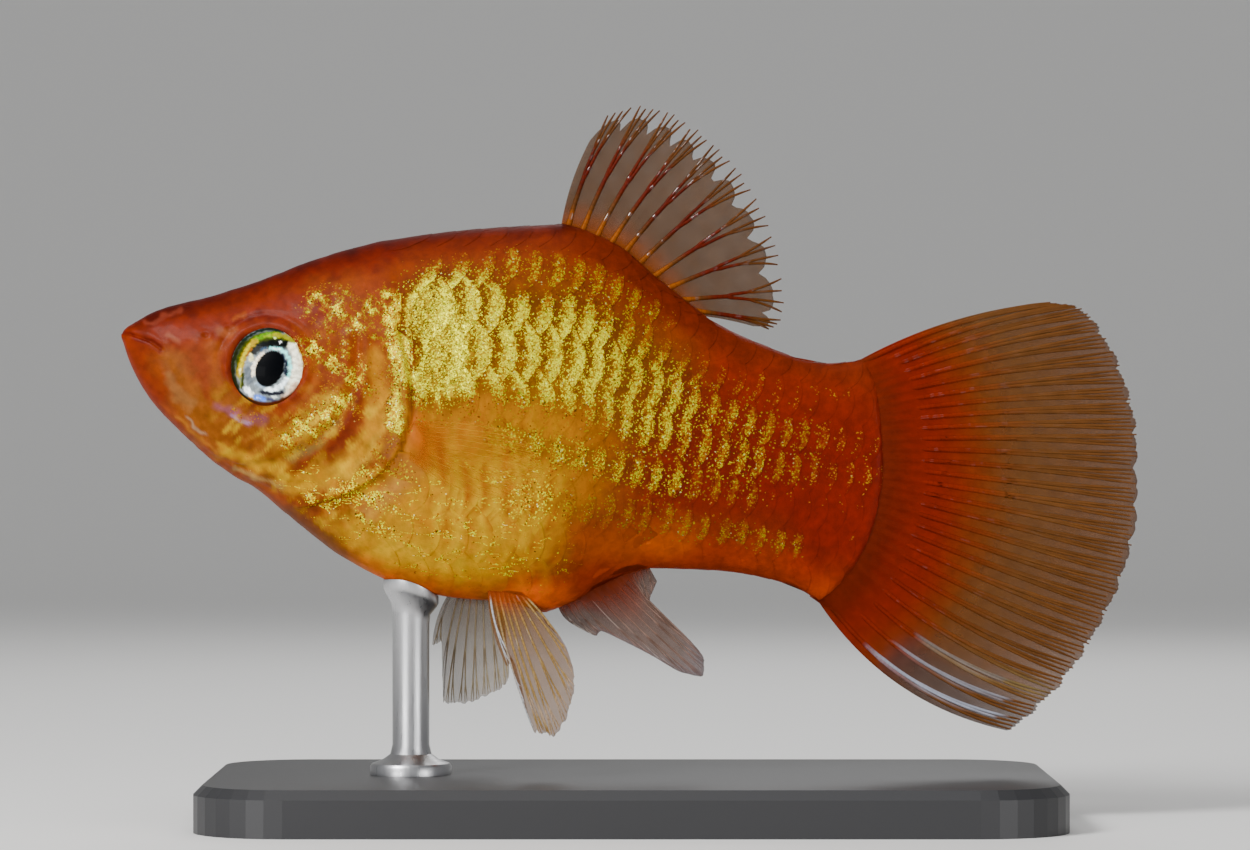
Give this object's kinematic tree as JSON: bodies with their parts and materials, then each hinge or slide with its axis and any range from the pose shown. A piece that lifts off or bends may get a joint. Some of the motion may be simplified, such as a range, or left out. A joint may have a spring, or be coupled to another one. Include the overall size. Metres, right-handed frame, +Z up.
{
  "type": "sunset neon platy fish model",
  "caption": "Life-size still model of a female sunset neon platy swimming, fins spread, held over a flat display base by a short rod.",
  "frame": {"origin": "middle of the stand's underside, under the middle of the fish's length", "axes": "+X from the snout to the tail, +Y to the fish's right side, +Z up; the left flank faces -Y"},
  "size_m": [0.055, 0.026, 0.0387],
  "materials": {
    "head_red": "orange-red wet skin, faintly mottled",
    "jaw_red": "deep orange-red wet skin",
    "cover_gold": "golden orange, pearly",
    "eye_silver": "silver iris under a clear cornea, black pupil",
    "flank_gold": "neon gold glittering scales over orange",
    "tail_red": "saturated red wet skin",
    "dorsal_amber": "thin translucent amber membrane over red rays",
    "caudal_red": "red at the root, translucent brown-orange outwards",
    "anal_lilac": "translucent lilac-grey with a reddish root",
    "pelvic_amber": "translucent amber with a pale leading edge",
    "pectoral_orange": "clear orange membrane",
    "stand_black": "satin black",
    "stand_steel": "brushed"
  },
  "bodies": {
    "root": {"head": "head_red", "lower_jaw": "jaw_red", "gill_cover_left": "cover_gold", "gill_cover_right": "cover_gold", "eye_left": "eye_silver", "eye_right": "eye_silver", "trunk": "flank_gold", "tail": "tail_red", "dorsal_fin": "dorsal_amber", "caudal_fin": "caudal_red", "anal_fin": "anal_lilac", "pelvic_fin_left": "pelvic_amber", "pelvic_fin_right": "pelvic_amber", "pectoral_fin_left": "pectoral_orange", "pectoral_fin_right": "pectoral_orange", "stand_base": "stand_black", "stand_rod": "stand_steel"}
  },
  "joints": []
}
